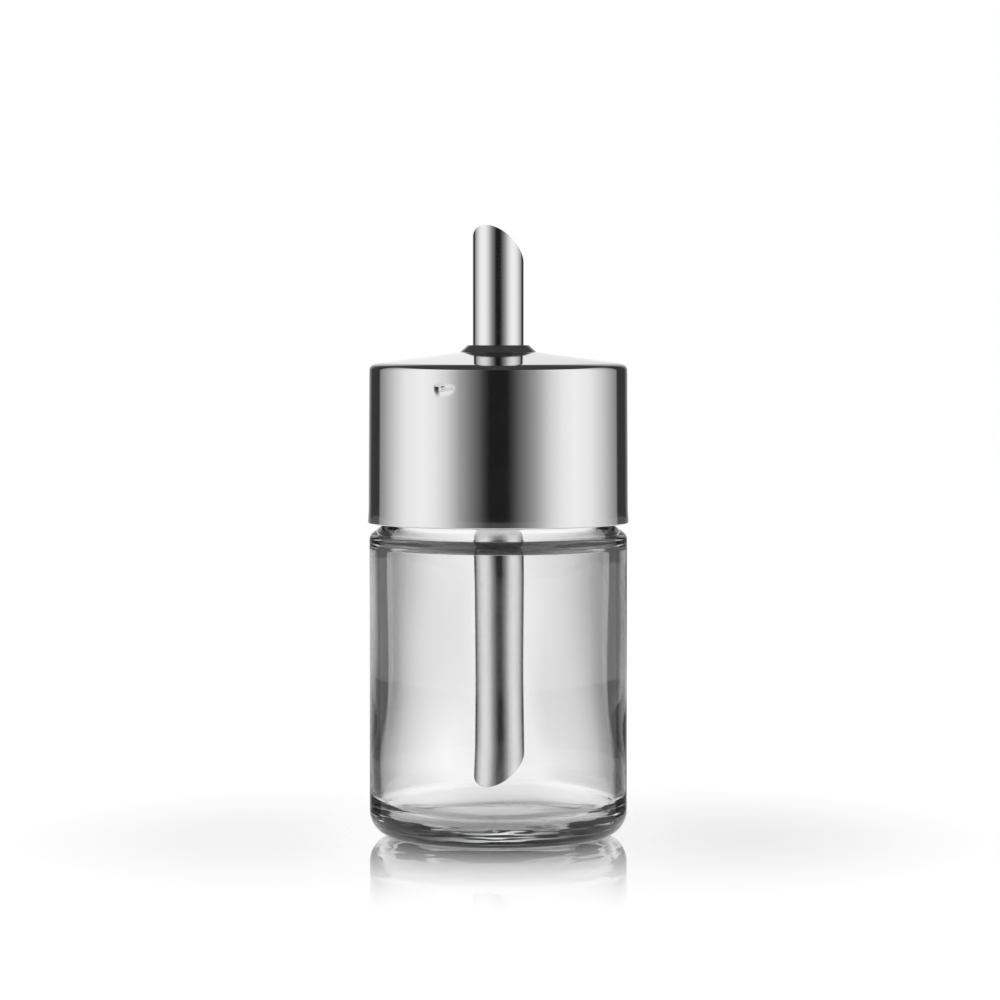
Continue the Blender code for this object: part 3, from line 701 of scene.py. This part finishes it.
cap_inside = shifted(rim[-1:] + wall + corner + edge + dome + [foot, top, bore], SHEET)
cap_profile = cap_outside + cap_inside[::-1] + [(cap_inside[0][0], CAP_BASE)]
print("cap profile:", len(cap_profile), "points, collar top at", round(top[1], 2), "mm")

# %% Dimples
DENT_MIDDLE, DENT_LEFT, DENT_RIGHT = -1.2, 1.7, 4.1
DENT_LEVEL, DENT_BELOW, DENT_ABOVE = 0.75, 2.5, 0.95
DENT_DEPTH = 0.50
BAR_START, BAR_END = (-0.9, 0.30), (2.0, 0.45)
BAR_CREST, BAR_TOP_FLANK, BAR_LOW_FLANK = 0.30, 0.60, 0.25
BAR_HEIGHT, BAR_TAPER = 0.43, 0.95
WALL_FROM = 25

dimple_azimuths = [DIMPLE_AZIMUTH + 360 / DIMPLE_COUNT * index for index in range(DIMPLE_COUNT)]


def dimples(angle, radius, height, row):
    """Depth of the three crimp dimples, negative in millimetres."""
    depth = np.zeros(np.broadcast(angle, height).shape)
    run, rise = BAR_END[0] - BAR_START[0], BAR_END[1] - BAR_START[1]
    for azimuth in dimple_azimuths:
        centre = radians(azimuth)
        across = (np.mod(angle - centre + pi, 2 * pi) - pi) * CAP_RADIUS
        up = height - DIMPLE_HEIGHT
        wide = np.where(across < DENT_MIDDLE, DENT_LEFT, DENT_RIGHT)
        tall = np.where(up < DENT_LEVEL, DENT_BELOW, DENT_ABOVE)
        spread = ((across - DENT_MIDDLE) / wide) ** 2 + ((up - DENT_LEVEL) / tall) ** 2
        depth -= DENT_DEPTH * np.clip(1 - spread, 0, 1) ** 2
        share = (across - BAR_START[0]) * run + (up - BAR_START[1]) * rise
        share = np.clip(share / (run ** 2 + rise ** 2), 0, 1)
        over = up - BAR_START[1] - share * rise
        away = np.sqrt((across - BAR_START[0] - share * run) ** 2 + over ** 2)
        upper = np.clip(over / np.maximum(away, 0.01) / 2 + 0.5, 0, 1)
        slope = BAR_LOW_FLANK + (BAR_TOP_FLANK - BAR_LOW_FLANK) * upper
        flank = np.clip(1 - (away - BAR_CREST) / slope, 0, 1)
        depth += BAR_HEIGHT * (1 - BAR_TAPER * share) * flank ** 2 * (3 - 2 * flank)
    return depth * (radius > WALL_FROM)


cap_columns = fine_columns(
    216, [azimuth % 360 for azimuth in dimple_azimuths], DIMPLE_HALF_ANGLE, DIMPLE_STEP)
cap_mesh = lathe("cap", cap_profile, cap_columns, True, dimples)
cap = finish_piece("drawn_steel_cap", cap_mesh, cap_finish, "cap", "cap_shell", sharp=50)

# %% [markdown]
# ## The dosing tube
# A straight steel tube, cut at 45 degrees at both ends and facing the back right. The cut edges are
# broken by a file, which a small bevel shows as a fine bright line. Where the pin of the flap goes
# through, the wall is drilled, so the holes are cut with a Boolean once the tube is turned.

# %% Tube
TUBE_BORE = 5.4
MOUTH_AZIMUTH = 60.0
TIP, INLET = 142.2, 11.5
MOUTH_CENTRE = TIP - TUBE_RADIUS
INLET_CENTRE = INLET + TUBE_RADIUS
EDGE = 0.12
BEAD, BEAD_HALF = 0.85, 0.55
PIN_RADIUS = 0.4
PIN_OFFSET = 3.8
PIN_HEIGHT = MOUTH_CENTRE - PIN_OFFSET - 1.3
PIN_PLAY = 0.08

dome_under = foot[1] - SHEET / cos(radians(DOME_SLOPE))
bead = [(TUBE_RADIUS + BEAD * cos(radians(angle)), dome_under + BEAD_HALF * (1 + sin(radians(angle))))
        for angle in range(-90, 91, 15)]
near_mouth = (3.0, 2.2, 1.4, 0.7, EDGE)
# Each row is a radius, a height on the axis and the slope of its cut.
tube_rows = [(TUBE_RADIUS - EDGE, INLET_CENTRE, -1), (TUBE_RADIUS, INLET_CENTRE + EDGE, -1)]
tube_rows += [(TUBE_RADIUS, INLET_CENTRE + 6.5 + 8 * step, 0) for step in range(10)]
tube_rows += [(radius, height, 0) for radius, height in bead]
tube_rows += [(TUBE_RADIUS, bead[-1][1] + 3 + 4 * step, 0) for step in range(4)]
tube_rows += [(TUBE_RADIUS, MOUTH_CENTRE - drop, 1) for drop in near_mouth]
tube_rows += [(TUBE_RADIUS - EDGE, MOUTH_CENTRE, 1), (TUBE_BORE + EDGE, MOUTH_CENTRE, 1)]
tube_rows += [(TUBE_BORE, MOUTH_CENTRE - drop, 1) for drop in reversed(near_mouth)]
tube_rows += [(TUBE_BORE, 120 - 11 * step, 0) for step in range(9)]
tube_rows += [(TUBE_BORE, INLET_CENTRE + EDGE, -1), (TUBE_BORE + EDGE, INLET_CENTRE, -1)]


def cut_slopes(angle, radius, height, row):
    """Fall of each row towards the side that the mouth faces."""
    slopes = np.array([slope for _, _, slope in tube_rows])[row]
    return -radius * np.cos(angle - radians(MOUTH_AZIMUTH)) * slopes


def mouth_place(offset, height):
    """Frame in the mouth: X along the pin, Y towards the side that the mouth faces."""
    turned = Matrix.Rotation(radians(MOUTH_AZIMUTH - 90), 4, "Z")
    return turned @ Matrix.Translation(Vector((0, offset, height)) * MM)


def drilled(mesh, tool):
    """Cut one mesh out of another, exactly, and return the plain result."""
    target = put_in_scene("drilled", mesh)
    drill = put_in_scene("drill", tool)
    step = target.modifiers.new("cut", "BOOLEAN")
    step.operation = "DIFFERENCE"
    step.solver = "EXACT"
    step.object = drill
    result = evaluated(target)
    bpy.data.objects.remove(drill, do_unlink=True)
    return result


def into_mesh(maker, name):
    """Mesh of the faces that were made, with their maker freed."""
    mesh = bpy.data.meshes.new(name)
    maker.to_mesh(mesh)
    maker.free()
    return mesh


def rod(radius, length, sides, place):
    """A round bar along X of the given frame."""
    maker = bmesh.new()
    bmesh.ops.create_cone(maker, cap_ends=True, segments=sides, radius1=radius * MM, radius2=radius * MM,
                          depth=length * MM, matrix=place @ Matrix.Rotation(pi / 2, 4, "Y"))
    return into_mesh(maker, "rod")


pin_place = mouth_place(PIN_OFFSET, PIN_HEIGHT)
tube_mesh = lathe("tube", [(radius, height) for radius, height, _ in tube_rows],
                  fine_columns(144), True, lift=cut_slopes)
tube_mesh = drilled(tube_mesh, rod(PIN_RADIUS + PIN_PLAY, 2 * TUBE_RADIUS + 2, 32, pin_place))
tube = finish_piece("slant_cut_tube", tube_mesh, tube_finish, "cap", "dosing_tube", sharp=30)

# %% [markdown]
# ## The moulded inner cap
# Hidden in the cap and seen from below once it is off: a skirt with the female thread, a bead that
# keeps the seal from falling out, a web over the rim of the glass, and a hub around the tube. Six
# ribs brace the hub. Repeated parts are what Geometry Nodes do best, so one tree sets any number of
# them on a circle.

# %% Geometry Nodes: ribs on a circle
RIB_DRAFT = 0.25
RIB_COUNT, RIB_HEIGHT, RIB_THICKNESS, RIB_SINK = 6, 6.5, 1.2, 0.6


def rib_tree():
    """Node group that adds ribs around the axis to a mesh."""
    group, given = new_group("ribs_on_a_circle", "First Angle", "Inner Radius", "Outer Radius", "Bottom",
                             "Top", "Thickness", counts=("Count",))
    sums = partial(maths, group)
    tall = sums("SUBTRACT", given["Top"], given["Bottom"])
    size = add_node(group, "ShaderNodeCombineXYZ", {
        0: sums("SUBTRACT", given["Outer Radius"], given["Inner Radius"]),
        1: given["Thickness"], 2: tall}).outputs[0]
    middle = add_node(group, "ShaderNodeCombineXYZ", {
        0: sums("MULTIPLY", sums("ADD", given["Outer Radius"], given["Inner Radius"]), 0.5),
        2: sums("MULTIPLY", sums("ADD", given["Top"], given["Bottom"]), 0.5)}).outputs[0]
    rib = add_node(group, "GeometryNodeMeshCube", {
        "Size": size, "Vertices X": 8, "Vertices Y": 3, "Vertices Z": 5})
    place = parts_of(group, add_node(group, "GeometryNodeInputPosition").outputs[0])
    taper = remap(
        group, place["Z"], sums("MULTIPLY", tall, -0.5), sums("MULTIPLY", tall, 0.5), 0.0, RIB_DRAFT)
    draft = add_node(group, "ShaderNodeCombineXYZ", {
        1: sums("MULTIPLY", place["Y"], sums("MULTIPLY", taper, -1.0))}).outputs[0]
    tapered = add_node(group, "GeometryNodeSetPosition", {
        "Geometry": rib.outputs["Mesh"], "Offset": draft})
    moved = add_node(group, "GeometryNodeTransform", {
        "Geometry": tapered.outputs[0], "Translation": middle})
    points = add_node(group, "GeometryNodeMeshLine", {"Count": given["Count"], "Offset": (0, 0, 0)})
    index = add_node(group, "GeometryNodeInputIndex").outputs[0]
    share = sums("DIVIDE", sums("MULTIPLY", index, 2 * pi), given["Count"])
    turned = add_node(group, "ShaderNodeCombineXYZ", {2: sums("ADD", given["First Angle"], share)})
    ribs = add_node(group, "GeometryNodeInstanceOnPoints", {
        "Points": points.outputs["Mesh"], "Instance": moved.outputs[0], "Rotation": turned.outputs[0]})
    joined = add_node(group, "GeometryNodeJoinGeometry")
    group.links.new(ribs.outputs[0], joined.inputs[0])
    group.links.new(given["Geometry"], joined.inputs[0])
    return end_group(group, joined.outputs[0], given["Finish"])


rib_group = rib_tree()
print("rib tree nodes:", len(rib_group.nodes))

# %% Profile of the insert
INSERT_RADIUS = 29.07
SKIRT_BORE = 28.0
BEAD_BORE = 26.9
WEB_BOTTOM, WEB_TOP = 91.1, 92.9
HUB_BORE, HUB_RADIUS = 6.2, 8.6
HUB_BOTTOM = 88.0
SKIRT_BOTTOM = 74.5
INSERT_CREST, INSERT_FLANK = 0.30, 0.50
UPPER_BORE = 27.07
BEAD_TOP = 84.75
SOFT = 0.25

hub_top = dome_under - 0.3
# Up the outside, past the groove that the dimples press into, and down the inside.
insert_corners = [
    (SKIRT_BORE, SKIRT_BOTTOM), (INSERT_RADIUS, SKIRT_BOTTOM), (INSERT_RADIUS, 101.7),
    (28.17, 102.6), (28.17, 106.0), (INSERT_RADIUS, 106.9), (INSERT_RADIUS, 107.47), (28.27, 108.27),
    (UPPER_BORE, 108.27), (UPPER_BORE, WEB_TOP), (HUB_RADIUS, WEB_TOP), (HUB_RADIUS, hub_top),
    (HUB_BORE, hub_top), (HUB_BORE, HUB_BOTTOM), (HUB_RADIUS, HUB_BOTTOM), (HUB_RADIUS, WEB_BOTTOM),
    (SKIRT_BORE, WEB_BOTTOM), (SKIRT_BORE, BEAD_TOP), (BEAD_BORE, BEAD_TOP),
    (BEAD_BORE, BEAD_TOP - 0.9), (SKIRT_BORE, BEAD_TOP - 2.0),
]
insert_profile = []
for index, spot in enumerate(insert_corners):
    before = insert_corners[index - 1]
    after = insert_corners[(index + 1) % len(insert_corners)]
    insert_profile += rounded(before, spot, after, SOFT, 3)
insert_profile += line((SKIRT_BORE, BEAD_TOP - 2.4), (SKIRT_BORE, 75.4), 42)
insert_blank = lathe("insert_blank", insert_profile, fine_columns(192), True)
threaded = bake(insert_blank, thread_group, {
    **thread, "Start": (THREAD_START - THREAD_PITCH / 2) * MM, "Wall Radius": SKIRT_BORE * MM,
    "Ridge": -THREAD_RIDGE * MM, "Crest": INSERT_CREST * MM, "Flank": INSERT_FLANK * MM,
    "Finish": insert_finish})
insert_mesh = bake(threaded, rib_group, {
    "Count": RIB_COUNT, "First Angle": radians(DIMPLE_AZIMUTH),
    "Inner Radius": (HUB_RADIUS - RIB_SINK) * MM, "Outer Radius": (UPPER_BORE + RIB_SINK) * MM,
    "Bottom": (WEB_TOP - RIB_SINK) * MM, "Top": (WEB_TOP + RIB_HEIGHT) * MM,
    "Thickness": RIB_THICKNESS * MM, "Finish": insert_finish})
insert = finish_piece(
    "moulded_inner_cap", insert_mesh, insert_finish, "cap", "thread_insert")

# %% [markdown]
# ## Sealing ring
# A flat silicone ring, cut or moulded with soft edges. It lies on the rim of the glass.

# %% Sealing ring
SEAL_INNER, SEAL_OUTER = 23.6, 27.2
SEAL_BOTTOM, SEAL_TOP = 88.8, 90.8
SEAL_SOFT = 0.35

inner, outer = SEAL_INNER + SEAL_SOFT, SEAL_OUTER - SEAL_SOFT
low, high = SEAL_BOTTOM + SEAL_SOFT, SEAL_TOP - SEAL_SOFT
seal_profile = []
for centre, start in (((outer, low), -90), ((outer, high), 0), ((inner, high), 90), ((inner, low), 180)):
    seal_profile += arc(centre, SEAL_SOFT, start, start + 90, 5)
seal_mesh = lathe("seal", seal_profile, fine_columns(160), True)
seal = finish_piece("silicone_sealing_ring", seal_mesh, seal_finish, "seal", "sealing_ring")

# %% [markdown]
# ## Spring ring on the tube
# A dished ring of spring steel, pushed up the tube against the hub. Eight slots part its inner edge
# into teeth that grip. The slots are the same step repeated, so the inner edge of the turned ring
# simply jumps outwards wherever a column lies in a slot.

# %% Spring ring
RING_BORE, RING_OUTER = 6.2, 8.4
RING_TOP = 87.7
RING_SHEET = 0.5
RING_DISH = 0.6
RING_SOFT = 0.08
SLOT_COUNT, SLOT_WIDTH, SLOT_LENGTH = 8, 1.0, 1.1
SLOT_EDGE = 0.02


def ring_columns():
    """Angles around the ring, with a close pair at each side of every slot."""
    angles = []
    for index in range(SLOT_COUNT):
        centre = 360 * (index + 0.5) / SLOT_COUNT
        half = degrees(SLOT_WIDTH / 2 / RING_BORE)
        inner, outer = half - SLOT_EDGE, half + SLOT_EDGE
        tooth = 360 / SLOT_COUNT - 2 * outer
        angles += [centre - outer, centre - inner, centre, centre + inner, centre + outer]
        angles += [centre + outer + tooth * step / 6 for step in range(1, 6)]
    return sorted(angle % 360 for angle in angles)


def slots(angle, radius, height, row):
    """Widen the bore of the ring inside each slot."""
    centre = 2 * pi / SLOT_COUNT
    off = np.abs(np.mod(angle, centre) - centre / 2)
    inside = (off < SLOT_WIDTH / 2 / RING_BORE) & (radius < RING_BORE + SLOT_LENGTH)
    return np.where(inside, RING_BORE + SLOT_LENGTH - radius, 0)


def dish(angle, radius, height, row):
    """Keep the widened bore on the dished face."""
    bore = radius + slots(angle, radius, height, row)
    return -RING_DISH * np.clip((RING_OUTER - bore) / (RING_OUTER - RING_BORE), 0, 1)


ring_bottom = RING_TOP - RING_SHEET
ring_profile = [
    (RING_BORE, ring_bottom + RING_SOFT), (RING_BORE + RING_SOFT, ring_bottom),
    (RING_OUTER - RING_SOFT, ring_bottom), (RING_OUTER, ring_bottom + RING_SOFT),
    (RING_OUTER, RING_TOP - RING_SOFT), (RING_OUTER - RING_SOFT, RING_TOP),
    (RING_BORE + RING_SOFT, RING_TOP), (RING_BORE, RING_TOP - RING_SOFT),
]
ring_mesh = lathe("ring", ring_profile, ring_columns(), True, slots, dish)
ring = finish_piece(
    "slotted_spring_ring", ring_mesh, spring_finish, "tube_ring", "tube_ring", sharp=30)

# %% [markdown]
# ## The flap in the mouth
# A stamped oval that closes the slanted mouth from inside, just under its cut edge. It is dished a
# little, which stiffens thin sheet and catches the light, and its low end is rolled around the pin
# like the knuckle of a hinge. The oval is the tube's bore seen at 45 degrees, so it is longer than
# it is wide.

# %% Flap
FLAP_SHEET = 0.5
FLAP_EDGE_GAP = 0.45
KNUCKLE_RADIUS = 0.9
PIN_HOLE = 0.5
KNUCKLE_LENGTH = 4.398
STRAP_HALF = 1.8
STRAP_LENGTH = 1.6
TAPER = 68.0
SLANT = radians(45)
DISH_DEPTH, DISH_SHARE, DISH_RIM = 0.28, 0.55, 0.72
PLATE_EDGE, PLATE_BEVEL = 0.1, 0.03
ROLL_START, ROLL_SWEEP, ROLL_EDGE, ROLL_PINCH = 90, 318, 0.06, 0.05

plate_height = KNUCKLE_RADIUS - 0.05 - FLAP_SHEET / 2
flap_reach = TUBE_BORE - FLAP_EDGE_GAP
flap_middle = (PIN_OFFSET + plate_height * sin(SLANT)) / cos(SLANT)
outline = [(-STRAP_HALF, STRAP_LENGTH * step / 4) for step in range(4, 0, -1)]
outline += [(-STRAP_HALF + 2 * STRAP_HALF * step / 8, 0) for step in range(8)]
outline += [(STRAP_HALF, STRAP_LENGTH * step / 4) for step in range(5)]
for step in range(73):
    angle = radians(TAPER + (360 - 2 * TAPER) * step / 72)
    outline.append((flap_reach * sin(angle), flap_middle - flap_reach * cos(angle) / cos(SLANT)))


def skin(maker, rings):
    """Faces between neighbouring rings of points; where a point repeats they are triangles."""
    for low, high in zip(rings, rings[1:]):
        for index in range(len(low)):
            following = (index + 1) % len(low)
            maker.faces.new(list(dict.fromkeys([low[index], low[following], high[following], high[index]])))


def plate(name, shape, thickness, bevel, centre, dishing):
    """A plate with bevelled edges and a pressed dish, from its outline."""
    maker = bmesh.new()
    half = thickness / 2
    under = [(0.0, -half), (DISH_SHARE, -half), (DISH_RIM, -half), (1 - bevel, -half),
             (1.0, -half + PLATE_EDGE)]
    rings = []
    for share, height in under + [(share, -height) for share, height in reversed(under)]:
        level = height - (dishing if share <= DISH_SHARE else 0.0)
        spots = shape if share else [centre]
        ring = [maker.verts.new(((centre[0] + (across - centre[0]) * share) * MM,
                                 -(centre[1] + (along - centre[1]) * share) * MM, level * MM))
                for across, along in spots]
        rings.append(ring if share else ring * len(shape))
    skin(maker, rings)
    bmesh.ops.recalc_face_normals(maker, faces=maker.faces[:])
    return into_mesh(maker, name)


def roll(name, inner, outer, length, start, sweep, steps):
    """Sheet rolled around the pin: a thick arc pulled along X, with both ends closed."""
    maker = bmesh.new()
    sections = []
    end, flat = length / 2, length / 2 - ROLL_EDGE
    for across, pinch in ((-end, ROLL_PINCH), (-flat, 0.0), (flat, 0.0), (end, ROLL_PINCH)):
        section = []
        for radius, order in ((outer - pinch, range(steps + 1)), (inner + pinch, range(steps, -1, -1))):
            for step in order:
                angle = radians(start + sweep * step / steps)
                spot = Vector((across, radius * cos(angle), radius * sin(angle)))
                section.append(maker.verts.new(spot * MM))
        sections.append(section)
    skin(maker, sections)
    for section in (sections[0], sections[-1]):
        back = section[::-1]
        for index in range(steps):
            maker.faces.new((section[index], section[index + 1], back[index + 1], back[index]))
    bmesh.ops.recalc_face_normals(maker, faces=maker.faces[:])
    return into_mesh(maker, name)


def joined(name, parts):
    """One mesh from several, each with its own matrix."""
    maker = bmesh.new()
    for mesh, place in parts:
        part = mesh.copy()
        part.transform(place)
        maker.from_mesh(part)
    return into_mesh(maker, name)


lying = Matrix.Rotation(-SLANT, 4, "X")
flap_plate = plate("flap_plate", outline, FLAP_SHEET, PLATE_BEVEL, (0, flap_middle), DISH_DEPTH)
knuckle = roll("knuckle", PIN_HOLE, KNUCKLE_RADIUS, KNUCKLE_LENGTH, ROLL_START, ROLL_SWEEP, 40)
flap_mesh = joined("flap", [
    (flap_plate, pin_place @ lying @ Matrix.Translation((0, 0, plate_height * MM))),
    (knuckle, pin_place @ lying)])
flap = finish_piece(
    "stamped_mouth_flap", flap_mesh, flap_finish, "flap", "mouth_flap", sharp=35)

# %% [markdown]
# ## The pin
# A length of wire, pushed through the drilled tube and ground flush with it, so its ends follow the
# tube's curve.

# %% Pin
PIN_SIDES = 24
END_ROUND, END_FLAT, END_DROP = 0.05, 0.8, 0.01


def ground_pin():
    """Wire whose ends lie on the outside of the tube."""
    maker = bmesh.new()
    rings = []
    for side in (-1, 1):
        for share, back in ((0.0, 0.0), (END_FLAT, 0.0), (1.0, END_ROUND))[::-side]:
            ring = []
            for index in range(PIN_SIDES):
                angle = 2 * pi * index / PIN_SIDES
                off = PIN_RADIUS * share * cos(angle)
                reach_across = sqrt(TUBE_RADIUS ** 2 - (PIN_OFFSET + off) ** 2) - back - END_DROP
                ring.append((side * reach_across, off, PIN_RADIUS * share * sin(angle)))
            if share == 0:
                rings.append([maker.verts.new(Vector(ring[0]) * MM)] * PIN_SIDES)
            else:
                rings.append([maker.verts.new(Vector(spot) * MM) for spot in ring])
    skin(maker, rings)
    bmesh.ops.recalc_face_normals(maker, faces=maker.faces[:])
    bmesh.ops.transform(maker, matrix=pin_place, verts=maker.verts[:])
    return into_mesh(maker, "pin")


pin = finish_piece("ground_hinge_pin", ground_pin(), wire_finish, "cap", "flap_pin", sharp=35)

# %% Sizes and finish
visual_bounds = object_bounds()
for label, box in (("CAD", cad_bounds), ("visual", visual_bounds)):
    print(label, "box:", [[round(value / MM, 2) for value in corner] for corner in box])
